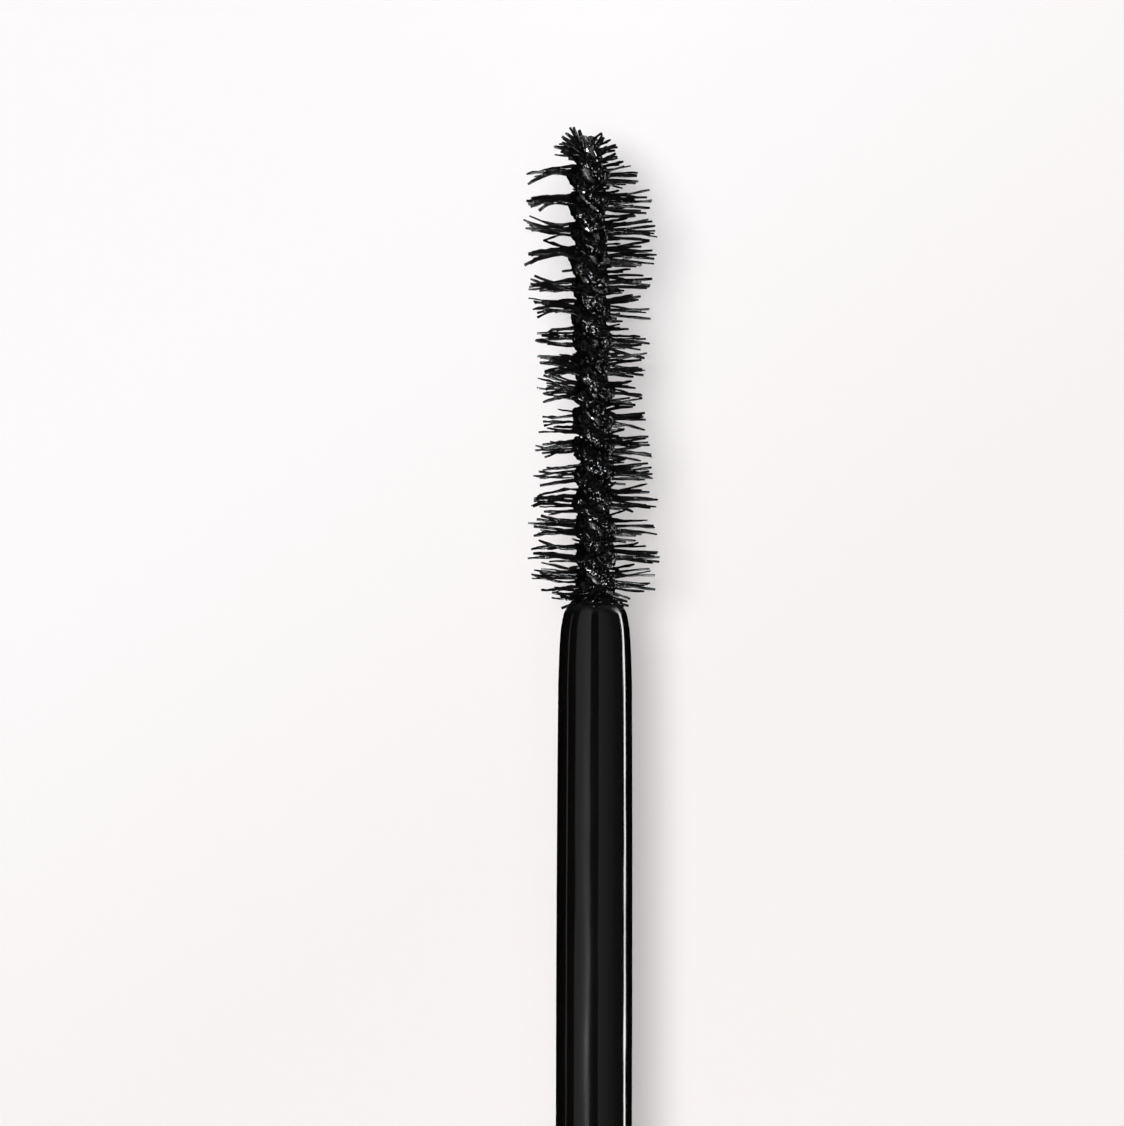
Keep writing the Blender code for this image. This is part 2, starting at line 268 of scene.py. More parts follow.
def gloss_black(name, haze_scale):
    """Polished black moulding: clear gloss with faint handling haze and a few hairline scratches."""
    finish = Finish(name, GLOSS_BLACK, 0.08, Specular_IOR_Level=0.5)
    haze = finish.noise(haze_scale, detail=4.0).step_up(0.48, 0.75)
    hairs = finish.noise(260, (1, 9, 9), 2.0, 0.4).step_up(0.68, 0.73)
    finish.feed(Roughness=haze * 0.05 + hairs * 0.16 + 0.07)
    finish.bump(finish.noise(200, detail=1.0) + hairs * 0.1, 0.0000012)
    return finish


sleeve = turned(
    "tube_sleeve_gloss",
    [
        (sleeve_low.x, OUTER_R - SLEEVE_WALL),
        (sleeve_low.x, OUTER_R),
        (sleeve_high.x, OUTER_R),
        (sleeve_high.x, OUTER_R - SLEEVE_WALL),
    ],
    ring=True,
)
dress(sleeve, gloss_black("sleeve_gloss_black", 97), "sleeve_black", "tube", "tube_sleeve")

# ---- Base plug -----------------------------------------------------------------------------------
# The moulded plug that closes the sleeve's end and is what the closed tube stands on. Its foot is a
# rounded ring round a shallow dish, and its spigot is gripped by the sleeve.

plug_low, plug_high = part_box("base_plug")
PLUG_FOOT = 0.0015
PLUG_ROUND = 0.0005
PLUG_GAP = 0.0002
PLUG_SPIGOT_R = OUTER_R - SLEEVE_WALL - PLUG_GAP
PLUG_DISH_R = OUTER_R * 0.55
PLUG_DISH = 0.0004
PLUG_CENTRE_R = 0.0003

foot_start = plug_high.x - PLUG_FOOT
base_plug = turned(
    "base_plug_moulded",
    [
        (plug_low.x, PLUG_SPIGOT_R),
        (foot_start, PLUG_SPIGOT_R),
        (foot_start, OUTER_R),
        (plug_high.x - PLUG_ROUND, OUTER_R),
        (plug_high.x - PLUG_ROUND * 0.3, OUTER_R - PLUG_ROUND * 0.3),
        (plug_high.x, OUTER_R - PLUG_ROUND),
        (plug_high.x, PLUG_DISH_R),
        (plug_high.x - PLUG_DISH, PLUG_DISH_R - PLUG_DISH),
        (plug_high.x - PLUG_DISH, PLUG_CENTRE_R),
    ],
    edge=0.00010,
)
dress(base_plug, gloss_black("plug_gloss_black", 109), "sleeve_black", "tube", "base_plug")

# ---- Bottle --------------------------------------------------------------------------------------
# The blow-moulded inner bottle, satin black. Only its neck shows: a plain bead, one and a half turns
# of a rounded thread that runs out at both ends, and the rim that the wiper's flange sits on.

bottle_low, bottle_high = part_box("bottle")
collar_low, collar_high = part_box("shoulder_collar")
NECK_R = 0.0055
NECK_BORE_R = 0.0045
# The bead's two edges are measured from the collar, towards the rim.
BEAD_START = 0.0022
BEAD_END = 0.0009
BEAD_SLOPE = 0.0003
BEAD_HEIGHT = 0.00045
THREAD_START = 0.0030
THREAD_DEPTH = 0.0005
THREAD_LEAD = 0.0030
THREAD_TURNS = 1.5
THREAD_STEPS = 80
THREAD_RUNOUT = 14
BOTTLE_R = bottle_high.y
BOTTLE_WALL = 0.0011
BOTTLE_FLOOR = 0.0012
BOTTLE_ROUND = 0.0008
CENTRE_R = 0.0004


def select_only(piece):
    deselect_all()
    piece.select_set(True)
    bpy.context.view_layer.objects.active = piece


def drawn_lines(name, lines, roundness=1, smooth=40):
    """One mesh of round strands, each a list of ((x, y, z), radius) points, with closed ends."""
    curve = bpy.data.curves.new(name, "CURVE")
    curve.dimensions = "3D"
    curve.bevel_depth = 1.0
    curve.bevel_resolution = roundness
    curve.use_fill_caps = True
    for line in lines:
        spline = curve.splines.new("POLY")
        spline.points.add(len(line) - 1)
        for point, (place, radius) in zip(spline.points, line):
            point.co = (*place, 1)
            point.radius = radius
    piece = bpy.data.objects.new(name, curve)
    bpy.context.scene.collection.objects.link(piece)
    select_only(piece)
    bpy.ops.object.convert(target="MESH")
    piece = bpy.context.object
    bpy.ops.object.mode_set(mode="EDIT")
    bpy.ops.mesh.select_all(action="SELECT")
    bpy.ops.mesh.remove_doubles(threshold=0.0000001)
    bpy.ops.mesh.normals_make_consistent(inside=False)
    bpy.ops.object.mode_set(mode="OBJECT")
    bpy.ops.object.shade_smooth_by_angle(angle=math.radians(smooth))
    return piece


def thread(name, start, radius, height):
    """A rounded ridge wound round the axis, which runs out to nothing at both ends."""
    thick = abs(height) * 1.25
    steps = int(THREAD_STEPS * THREAD_TURNS)
    line = []
    for i in range(steps + 1):
        turn = math.tau * THREAD_TURNS * i / steps
        rise = min(1.0, i / THREAD_RUNOUT, (steps - i) / THREAD_RUNOUT)
        far = radius + math.copysign(1, height) * (abs(height) * rise - thick)
        place = (
            start + THREAD_LEAD * THREAD_TURNS * i / steps,
            far * math.sin(turn),
            AXIS_Z - far * math.cos(turn),
        )
        line.append((place, thick))
    return drawn_lines(name, [line], roundness=2)


def weld_on(piece, ridge):
    """Unite a ridge with the piece that it stands on."""
    select_only(piece)
    bpy.ops.mesh.customdata_custom_splitnormals_clear()
    union = piece.modifiers.new("union", "BOOLEAN")
    union.operation = "UNION"
    union.object = ridge
    apply_all(piece)
    bpy.data.objects.remove(ridge)
    smooth_with_flats(piece, 35)


neck_rim = bottle_low.x
bead_start = collar_low.x - BEAD_START
bead_end = collar_low.x - BEAD_END
shoulder = collar_high.x + 0.0003
shoulder_inside = shoulder + BOTTLE_WALL
bottle_floor = bottle_high.x - BOTTLE_FLOOR
bottle = turned(
    "bottle_moulded",
    [
        (bottle_floor, CENTRE_R),
        (bottle_floor, BOTTLE_R - BOTTLE_WALL),
        (shoulder_inside + 0.0002, BOTTLE_R - BOTTLE_WALL),
        (shoulder_inside, NECK_BORE_R),
        (neck_rim, NECK_BORE_R),
        (neck_rim, NECK_R),
        (bead_start, NECK_R),
        (bead_start + BEAD_SLOPE, NECK_R + BEAD_HEIGHT),
        (bead_end - BEAD_SLOPE, NECK_R + BEAD_HEIGHT),
        (bead_end, NECK_R),
        (shoulder, NECK_R),
        (shoulder, BOTTLE_R),
        (bottle_high.x - BOTTLE_ROUND, BOTTLE_R),
        (bottle_high.x, BOTTLE_R - BOTTLE_ROUND),
        (bottle_high.x, CENTRE_R),
    ],
    edge=0.00010,
)
weld_on(bottle, thread("bottle_thread", neck_rim + THREAD_START, NECK_R, THREAD_DEPTH))
bottle_finish = Finish("bottle_satin_black", (0.006, 0.006, 0.0062), 0.3)
bottle_grain = bottle_finish.noise(900, detail=4.0)
bottle_finish.feed(Roughness=bottle_grain * 0.12 + 0.26)
bottle_finish.bump(bottle_grain, 0.000004)
dress(bottle, bottle_finish, "bottle_black", "tube", "bottle")

# ---- Formula -------------------------------------------------------------------------------------
# The thick black paste of wax and pigment that fills the bottle, poured in before the wiper is
# pressed home. Its top is wet and slightly uneven.

formula_finish = Finish("formula_wet_black", (0.0035, 0.003, 0.003), 0.22, Coat_Weight=0.4)
formula_lumps = formula_finish.noise(600, detail=4.0)
formula_finish.feed(Roughness=formula_lumps * 0.2 + 0.12)
formula_finish.bump(formula_lumps, 0.00012)
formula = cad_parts["formula"]
formula.material_slots[0].material = formula_finish.material

# ---- Wiper ---------------------------------------------------------------------------------------
# The soft moulded sleeve pressed into the neck, milky and half clear. Its flange lies on the rim and
# its lip, far down the bore, scrapes the rod. Paste is left round the mouth and along the bore.

wiper_low, wiper_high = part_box("wiper")
WIPER_R = 0.0043
WIPER_BORE_R = 0.0037
WIPER_FLANGE = 0.0009
WIPER_MILKY = (0.62, 0.61, 0.58)
MOUTH_DEPTH = 0.0004
MOUTH_WIDER = 0.00025
LIP_R = 0.00219
LIP_WALL = 0.0005
LIP_TAPER = 0.0030
LIP_TAPER_INSIDE = 0.0036

flange_end = wiper_low.x + WIPER_FLANGE
wiper = turned(
    "wiper_moulded",
    [
        (wiper_low.x, WIPER_BORE_R + MOUTH_WIDER),
        (wiper_low.x, wiper_high.y),
        (flange_end, wiper_high.y),
        (flange_end, WIPER_R),
        (wiper_high.x - LIP_TAPER, WIPER_R),
        (wiper_high.x, LIP_R + LIP_WALL),
        (wiper_high.x, LIP_R),
        (wiper_high.x - LIP_TAPER_INSIDE, WIPER_BORE_R),
        (wiper_low.x + MOUTH_DEPTH, WIPER_BORE_R),
    ],
    ring=True,
    edge=0.00012,
)
wiper_finish = Finish(
    "wiper_milky", WIPER_MILKY, 0.35, Subsurface_Weight=0.3, Subsurface_Scale=0.001
)
smear = wiper_finish.noise(700, (1, 2.2, 2.2), 4.0, 0.6)
inside = 1.0 - wiper_finish.radius().step_up(WIPER_BORE_R + 0.0001, WIPER_BORE_R + 0.0009)
paste_film = (smear * 1.3 + inside * 0.85 - 0.75).step_up(0.18, 0.34)
wiper_color = wiper_finish.mix(paste_film, WIPER_MILKY, (0.006, 0.005, 0.005))
wiper_finish.feed(Base_Color=wiper_color, Roughness=0.42 - paste_film * 0.2)
wiper_finish.bump(paste_film + smear * 0.3, 0.00005)
dress(wiper, wiper_finish, "wiper_clear", "tube", "wiper")

# ---- Shoulder collar -----------------------------------------------------------------------------
# The metal ring between the neck and the sleeve, turned and brushed round, in dark gunmetal. It hides
# the bottle's shoulder, and the cap's rim comes down to just above it.

COLLAR_BORE_R = NECK_R + 0.0002
COLLAR_CHAMFER = 0.0003
COLLAR_CHAMFER_DEPTH = 0.0004


def groove(start, end, slope, depth):
    """The part of an outline that cuts a groove into the outside."""
    return [
        (start, OUTER_R),
        (start + slope, OUTER_R - depth),
        (end - slope, OUTER_R - depth),
        (end, OUTER_R),
    ]


collar = turned(
    "shoulder_collar_turned",
    [
        (collar_low.x, COLLAR_BORE_R),
        (collar_low.x, OUTER_R - COLLAR_CHAMFER_DEPTH),
        (collar_low.x + COLLAR_CHAMFER, OUTER_R),
        *groove(collar_high.x - 0.0009, collar_high.x - 0.0005, 0.0001, 0.00018),
        (collar_high.x, OUTER_R),
        (collar_high.x, COLLAR_BORE_R),
    ],
    ring=True,
    edge=0.00006,
)


def brushed_round(name, color, roughness):
    """Metal with fine turning marks that run round the axis, and a slow change in its tone."""
    finish = Finish(name, color, roughness, Metallic=1.0)
    lines, rings = [
        finish.node(
            "ShaderNodeTexNoise", 0, {"noise_dimensions": "1D"}, W=place * 9000.0, Scale=1.0
        )
        for place in (finish.along(), finish.radius())
    ]
    tone = finish.noise(160)
    finish.feed(Roughness=lines * 0.12 + rings * 0.08 + tone * 0.08 + (roughness - 0.14))
    finish.bump(lines + rings, 0.0000014)
    return finish


collar_finish = brushed_round("collar_gunmetal", (0.10, 0.098, 0.10), 0.3)
dress(collar, collar_finish, "trim_metal", "tube", "shoulder_collar")

# ---- Seal washer ---------------------------------------------------------------------------------
# The loose white foam gasket on the rod. The cap presses it on to the wiper's flange, and paste from
# the rim has marked its face.

FOAM_WHITE = (0.70, 0.69, 0.66)

washer_finish = Finish("washer_foam", FOAM_WHITE, 0.7)
washer_cells = washer_finish.noise(5200, detail=2.0)
washer_marks = washer_finish.noise(900).step_up(0.6, 0.72)
washer_color = washer_finish.mix(washer_marks, FOAM_WHITE, (0.08, 0.07, 0.07))
washer_finish.feed(Base_Color=washer_color, Roughness=washer_cells * 0.2 + 0.6)
washer_finish.bump(washer_cells, 0.00004)
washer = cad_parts["seal_washer"]
washer.material_slots[0].material = washer_finish.material

# ---- Cap shell -----------------------------------------------------------------------------------
# The outer cap, a deep thin cup moulded in high-gloss black. Its closed end is rounded over to a
# recess for the end disc, and a fine groove runs round it just above the rim.

cap_low, cap_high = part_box("cap_shell")
liner_low, liner_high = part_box("cap_liner")
disc_low, disc_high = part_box("cap_end_disc")
CAP_BORE_R = 0.0075
CAP_END_WALL = 0.0022
DISC_R = disc_high.y
RECESS_R = DISC_R + 0.00015
RECESS_DEPTH = 0.0006
END_ROUND = 0.0010
END_STEPS = 6

cap_end = cap_low.x
cap_rim = cap_high.x
rounded_end = []
for i in range(END_STEPS + 1):
    turn = math.pi / 2 * i / END_STEPS
    x = cap_end + END_ROUND * (1 - math.cos(turn))
    rounded_end.append((x, OUTER_R - END_ROUND * (1 - math.sin(turn))))
cap = turned(
    "cap_shell_gloss",
    [
        (cap_end + RECESS_DEPTH, CENTRE_R),
        (cap_end + RECESS_DEPTH, RECESS_R),
        (cap_end, RECESS_R),
        *rounded_end,
        *groove(cap_rim - 0.0012, cap_rim - 0.0008, 0.00008, 0.00015),
        (cap_rim, OUTER_R),
        (cap_rim, CAP_BORE_R),
        (cap_end + CAP_END_WALL, CAP_BORE_R),
        (cap_end + CAP_END_WALL, CENTRE_R),
    ],
    edge=0.00007,
)
dress(cap, gloss_black("cap_gloss_black", 121), "cap_black", "wand", "cap_shell")

# ---- Cap end disc --------------------------------------------------------------------------------
# The thin gunmetal inlay glued into the recess in the cap's end. It is stamped with a shallow step
# inside its border and spun smooth in fine rings.

DISC_CENTRE_R = 0.0003
DISC_BORDER = 0.0009
DISC_STEP = 0.00006
DISC_STEP_SLOPE = 0.00015

disc_step_r = DISC_R - DISC_BORDER
end_disc = turned(
    "cap_end_disc_spun",
    [
        (disc_high.x, DISC_CENTRE_R),
        (disc_high.x, DISC_R),
        (disc_low.x, DISC_R),
        (disc_low.x, disc_step_r),
        (disc_low.x + DISC_STEP, disc_step_r - DISC_STEP_SLOPE),
        (disc_low.x + DISC_STEP, DISC_CENTRE_R),
    ],
    edge=0.00005,
)
end_disc_finish = brushed_round("end_disc_gunmetal", (0.07, 0.069, 0.07), 0.3)
dress(end_disc, end_disc_finish, "trim_metal", "wand", "cap_end_disc")

# ---- Cap liner -----------------------------------------------------------------------------------
# The white inner cap that does the work inside the shell: a threaded skirt, a roof, and a deep socket
# that grips the rod's butt. Its mouth has a small lead-in, marked with a little dried paste.

rod_low, rod_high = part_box("rod")
washer_low, washer_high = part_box("seal_washer")
LINER_R = liner_high.y
LINER_BORE_R = 0.00665
LINER_ROOF = 0.0010
LINER_WHITE = (0.74, 0.735, 0.71)
LEAD_IN = 0.0005
LEAD_IN_WIDER = 0.00025
ROD_R = 0.00207
SOCKET_R = 0.0034
SOCKET_BORE_R = ROD_R + 0.0002
SEAT_GAP = 0.0003

liner_rim = liner_high.x
roof = washer_low.x - SEAT_GAP
socket_end = rod_low.x - SEAT_GAP
liner = turned(
    "cap_liner_moulded",
    [
        (liner_low.x, CENTRE_R),
        (liner_low.x, SOCKET_R),
        (roof - LINER_ROOF, SOCKET_R),
        (roof - LINER_ROOF, LINER_R),
        (liner_rim, LINER_R),
        (liner_rim, LINER_BORE_R + LEAD_IN_WIDER),
        (liner_rim - LEAD_IN, LINER_BORE_R),
        (roof, LINER_BORE_R),
        (roof, SOCKET_BORE_R),
        (socket_end, SOCKET_BORE_R),
        (socket_end, CENTRE_R),
    ],
    edge=0.00010,
)
liner_depth = liner_rim - roof
liner_thread_start = liner_rim - liner_depth / 2 - THREAD_LEAD * THREAD_TURNS / 2
weld_on(liner, thread("liner_thread", liner_thread_start, LINER_BORE_R, -THREAD_DEPTH))
liner_finish = Finish(
    "liner_white", LINER_WHITE, 0.38, Subsurface_Weight=0.15, Subsurface_Scale=0.001
)
liner_smear = liner_finish.noise(520, (1, 1.8, 1.8), 4.0, 0.6)
liner_marks = liner_smear.step_up(0.62, 0.68)
liner_finish.feed(
    Base_Color=liner_finish.mix(liner_marks, LINER_WHITE, (0.02, 0.017, 0.016)),
    Roughness=0.42 - liner_marks * 0.15,
)
liner_finish.bump(liner_marks + liner_smear * 0.2, 0.00003)
dress(liner, liner_finish, "liner_white", "wand", "cap_liner")

# ---- Rod -----------------------------------------------------------------------------------------
# The stem: a moulded black rod with a butt for the socket, a flange that backs the washer, and a
# rounded nose with a hole that grips the brush wire. A wet film of paste makes it gleam unevenly.

ROD_TIP = rod_high.x
FLANGE_R = rod_high.y
FLANGE_THICK = 0.0008
BUTT_CHAMFER = 0.0004
BUTT_CHAMFER_DEPTH = 0.0003
WIRE_HOLE_R = 0.00062
WIRE_HOLE_DEPTH = 0.0006

flange_start = washer_high.x + SEAT_GAP
flange_stop = flange_start + FLANGE_THICK
# The nose's outline: how far back from the tip, and the radius there.
rod_nose = [
    (0.00005, 0.00134),
    (0.00016, 0.00147),
    (0.00035, 0.00160),
    (0.00060, 0.00172),
    (0.00095, 0.00179),
    (0.00145, 0.001875),
    (0.00220, 0.00193),
    (0.00310, 0.00197),
    (0.00450, 0.00201),
    (0.00800, 0.002035),
    (0.01400, 0.00206),
    (0.02160, 0.002075),
]
rod = turned(
    "rod_moulded",
    [
        (rod_low.x, CENTRE_R),
        (rod_low.x, ROD_R - BUTT_CHAMFER_DEPTH),
        (rod_low.x + BUTT_CHAMFER, ROD_R),
        (flange_start, ROD_R),
        (flange_start, FLANGE_R),
        (flange_stop, FLANGE_R),
        (flange_stop, ROD_R),
        *[(ROD_TIP - back, r) for back, r in reversed(rod_nose)],
        (ROD_TIP, 0.00122),
        (ROD_TIP, WIRE_HOLE_R + 0.00006),
        (ROD_TIP - WIRE_HOLE_DEPTH, WIRE_HOLE_R),
        (ROD_TIP - WIRE_HOLE_DEPTH, 0.0002),
    ],
    edge=0,
    smooth=32,
)
rod_finish = Finish("rod_wet_black", (0.0032, 0.0027, 0.0026), 0.09, Specular_IOR_Level=0.5)
film = rod_finish.noise(240, (0.35, 1, 1), rough=0.55)
streaks = rod_finish.noise(700, (0.12, 1, 1), 2.0).step_up(0.45, 0.75)
nose_smear = rod_finish.along().step_up(ROD_TIP - 0.0007, ROD_TIP - 0.0002)
rod_finish.feed(Roughness=film * 0.06 + streaks * 0.05 + nose_smear * 0.25 + 0.07)
rod_finish.bump(film + streaks * 0.25, 0.000030)
dress(rod, rod_finish, "rod_black", "wand", "rod")

# ---- Brush wire ----------------------------------------------------------------------------------
# Two stainless wires twisted left-handed round the fibres and staked into the rod's nose. They are
# wet with paste, so that only the crowns of the twist glint.

WIRE_R = 0.00030
WIRE_OFF_AXIS = 0.00031
WIRE_IN_ROD = 0.0020
WIRE_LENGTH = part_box("brush_core")[1].x - ROD_TIP
BRUSH_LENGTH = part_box("brush_bristles")[1].x - ROD_TIP
TWIST_LEAD = 0.002942
TWIST_START = 0.0012
TIP_LEAN = 0.00052


def turn_at(back):
    """The angle of the twist, from the level, at a distance from the rod's nose."""
    return -math.tau * (back - TWIST_START) / TWIST_LEAD


def lean_at(back):
    """How far the brush has leant to one side at a distance from the rod's nose."""
    return TIP_LEAN * max(0.0, back / BRUSH_LENGTH) ** 1.3


def around(back, far, turn):
    """The place at a distance from the nose, a distance from the wire, and an angle about it."""
    return (
        ROD_TIP + back,
        lean_at(back) + far * math.cos(turn),
        AXIS_Z + far * math.sin(turn),
    )


def twist(start, end, far, phase, radius, per_turn):
    """A strand of the twist, as points for drawn_lines."""
    steps = int((end - start) / TWIST_LEAD * per_turn)
    line = []
    for i in range(steps + 1):
        back = start + (end - start) * i / steps
        line.append((around(back, far, turn_at(back) + phase), radius))
    return line


wires = drawn_lines(
    "brush_wires",
    [
        twist(-WIRE_IN_ROD, WIRE_LENGTH, WIRE_OFF_AXIS, phase, WIRE_R, per_turn=26)
        for phase in (math.pi / 2, math.pi * 3 / 2)
    ],
    roundness=3,
)
wire_finish = Finish("wire_wet_steel", (0.10, 0.10, 0.105), 0.25, Metallic=1.0)
wire_film = wire_finish.noise(1300).step_up(0.42, 0.58)
wire_finish.feed(
    Base_Color=wire_finish.mix(wire_film, (0.30, 0.29, 0.29), (0.012, 0.011, 0.011)),
    Roughness=wire_film * 0.2 + 0.18,
    Metallic=1.0 - wire_film,
)
wire_finish.bump(wire_film, 0.00002)
dress(wires, wire_finish, "brush_wire", "wand", "brush_core")

# ---- Paste on the wire ---------------------------------------------------------------------------
# The paste that stays packed between the roots of the fibres. It follows the double spiral of the
# twist, lumpy where the fibres hold it, and thins out towards the tip.

PASTE_START = 0.0006
PASTE_END = WIRE_LENGTH - 0.0008
PASTE_PHASE = -0.15
PASTE_R = 0.00050
PASTE_THINNEST = 0.00032
PASTE_OFF_AXIS = 0.00060
PASTE_DRIFT = 0.00005
PASTE_TAPER_POINTS = 8
CORE_START = -0.0003
CORE_LENGTH = WIRE_LENGTH - 0.0009
CORE_R = 0.00056
CORE_STEPS = 120
SKIRT_R = 0.00082
SKIRT_LENGTH = 0.0011
CORE_THINS_AT = 0.0228
CORE_THINS_OVER = 0.0009
CORE_THINS_BY = 0.00028
LUMP_SIZE = 0.00045
LUMP_HEIGHT = 0.00050

rng = random.Random(11)


def clamp(share):
    """A share held between 0 and 1."""
    return min(1.0, max(0.0, share))


paste_lines = []
for phase in (PASTE_PHASE, PASTE_PHASE + math.pi):
    line = twist(PASTE_START, PASTE_END, PASTE_OFF_AXIS, phase, PASTE_R, per_turn=20)
    drift = 0.0
    strand = []
    for i, (place, radius) in enumerate(line):
        drift = drift * 0.6 + rng.gauss(0, PASTE_DRIFT)
        taper = 0.68 + 0.32 * clamp((len(line) - 1 - i) / PASTE_TAPER_POINTS)
        strand.append((place, max(PASTE_THINNEST, radius + drift) * taper))
    paste_lines.append(strand)
core_line = []
for i in range(CORE_STEPS + 1):
    back = CORE_START + CORE_LENGTH * i / CORE_STEPS
    skirt = SKIRT_R * (1 - clamp(back / SKIRT_LENGTH)) ** 1.6
    thin = CORE_THINS_BY * clamp((back - CORE_THINS_AT) / CORE_THINS_OVER)
    core_line.append((around(back, 0, 0), CORE_R + skirt - thin))
paste_lines.append(core_line)
paste = drawn_lines("brush_paste", paste_lines, roundness=2)
fuse = paste.modifiers.new("fuse", "REMESH")
fuse.mode = "VOXEL"
fuse.voxel_size = 0.00007
lumps = bpy.data.textures.new("paste_lumps", "CLOUDS")
lumps.noise_scale = LUMP_SIZE
lumps.noise_depth = 2
swell = paste.modifiers.new("swell", "DISPLACE")
swell.texture = lumps
swell.strength = LUMP_HEIGHT
swell.mid_level = 0.48
apply_all(paste)
bpy.ops.object.shade_smooth_by_angle(angle=math.radians(60))
paste_finish = Finish("paste_wet_black", (0.0014, 0.0012, 0.0012), 0.2, Specular_IOR_Level=0.26)
paste_grain = paste_finish.noise(750, detail=1.0)
paste_finish.feed(Roughness=paste_grain * 0.14 + 0.05)
paste_finish.bump(paste_grain, 0.00007)
dress(paste, paste_finish, "bristle_black", "wand")

# ---- Bristles ------------------------------------------------------------------------------------
# Nylon fibres caught between the two wires, so their ends stand out in a double spiral. Trimmed to a
# waist, coated with dried paste, and gathered by it into combed tufts along one side.

# Places along the brush, such as WAIST_PLACE and COMBED_END, are measured from the rod's nose.
FIBRE_R = 0.000088
FIBRE_ROOT_R = 0.0003
ENDS_PER_TURN = 44
TUFTS = 20
FIRST_TUFT = TWIST_START
TUFT_PITCH = TWIST_LEAD / 2
FULL_REACH = 0.00372
BASE_REACH = 0.0017
BASE_LENGTH = 0.0012
WAIST_PLACE = 0.0115
WAIST_HALF_LENGTH = 0.0090
WAIST_DEPTH = 0.00068
SHOULDER_START = 0.0198
SHOULDER_END = 0.0236
SHOULDER_FALL = 0.00030
ROUNDS_SOONER = 0.0009
TIP_FALL = 0.00250
TIP_REACH = 0.0009
COMBED_ANGLE = math.radians(75)
COMBED_END = 0.0238
LOOSE_ANGLE = math.radians(105)
THINNED_ANGLE = math.radians(145)
THINNED_END = 0.0195
LEANS_OUT_FROM = 0.0230
DENSE_END = 0.0242
TIP_STUBS = 19
STUB_TURN = 0.382
BASE_STUBS = 26


def trim_radius(back, side):
    """How far the fibres reach from the wire: side 0 is the combed side, 1 the other side."""
    if back < BASE_LENGTH:
        rise = math.sqrt(max(0.0, back) / BASE_LENGTH)
        return BASE_REACH + (FULL_REACH - BASE_REACH) * rise
    if back < SHOULDER_START:
        off_waist = min(1.0, abs(back - WAIST_PLACE) / WAIST_HALF_LENGTH)
        return FULL_REACH - WAIST_DEPTH * (math.cos(math.pi * off_waist) * 0.5 + 0.5)
    edge = SHOULDER_END - ROUNDS_SOONER * side
    if back < edge:
        return FULL_REACH - SHOULDER_FALL * (back - SHOULDER_START) / (edge - SHOULDER_START)
    fall = min(1.0, (back - edge) / (BRUSH_LENGTH - edge))
    return max(TIP_REACH, FULL_REACH - SHOULDER_FALL - TIP_FALL * fall**0.85)


def fibre(
    root, turn, tip_back, tip_turn, reach, thick, comb=1.0, splay=0.0, lump=0.12, bow=0.0, points=8
):
    """One coated fibre from its root in the wire to its blunt tip, crooked and lumpy.

    A combed fibre swings over to its tuft soon after its root, and splays out again near its tip.
    """
    bend_back = bow + rng.gauss(0, 0.00005)
    bend_turn = rng.gauss(0, 0.04)
    line = []
    for i in range(points):
        f = i / (points - 1)
        far = FIBRE_ROOT_R + (reach - FIBRE_ROOT_R) * f
        swing = min(1.0, f / comb) ** 0.85
        fan = max(0.0, (f - 0.45) / 0.55) ** 1.4
        wave = math.sin(math.pi * f)
        back = root + (tip_back - root) * swing + splay * fan + bend_back * wave
        angle = turn + (tip_turn - turn) * swing + bend_turn * wave
        coat = 1.0 + rng.gauss(0, lump) + 0.4 * max(0.0, 0.4 - f)
        back += rng.gauss(0, 0.00004) * lump * min(1.0, 4 * f)
        line.append((around(back, far, angle), thick * max(0.65, coat)))
    place, radius = line[-1]
    line[-1] = (place, radius * 0.8)
    return line


tufts = []
for k in range(TUFTS):
    low = clamp((12 - k) / 5)
    tufts.append(
        {
            "lean": rng.gauss(0, 0.00016),
            "bow": rng.gauss(0, 0.00014) * (1 - 0.8 * low),
            "hold": (0.32 + 0.46 * low) * rng.uniform(0.8, 1.25),
            "splay": rng.uniform(0.00020, 0.00034) - 0.00010 * low,
            "comb": rng.uniform(0.35, 0.6) + 0.4 * low,
            "thin": rng.uniform(0.38, 0.48) - 0.07 * low,
            "coat": 0.92 - 0.16 * low,
            "stray": 0.00006 + 0.00008 * low,
        }
    )


def combed_fibre(root, turn, level):
    """A fibre on the combed side, drawn into the nearest tuft, or None where combing took it out."""
    k = max(0, round((root - FIRST_TUFT) / TUFT_PITCH))
    tuft = tufts[k]
    if rng.random() < tuft["thin"]:
        return None
    middle = FIRST_TUFT + k * TUFT_PITCH
    tip_back = middle + tuft["hold"] * (root - middle) + tuft["lean"]
    tip_back += rng.gauss(0, tuft["stray"])
    tip_level = level * rng.uniform(0.35, 0.75) + rng.gauss(0, 0.08)
    reach = trim_radius(tip_back, 0) * min(1.0, rng.gauss(0.93, 0.06))
    splay = rng.gauss(0, tuft["splay"]) + rng.choice((-1, 1)) * 0.00005
    thick = FIBRE_R * tuft["coat"] * rng.uniform(0.8, 1.2)
    if root < 0.0009:
        tip_back -= (0.0009 - root) * rng.uniform(0.0, 0.5)
    tip_turn = turn + tip_level - level
    comb = tuft["comb"] * rng.uniform(0.8, 1.25)
    return fibre(
        root, turn, tip_back, tip_turn, reach, thick, comb, splay, 0.27, tuft["bow"], points=10
    )


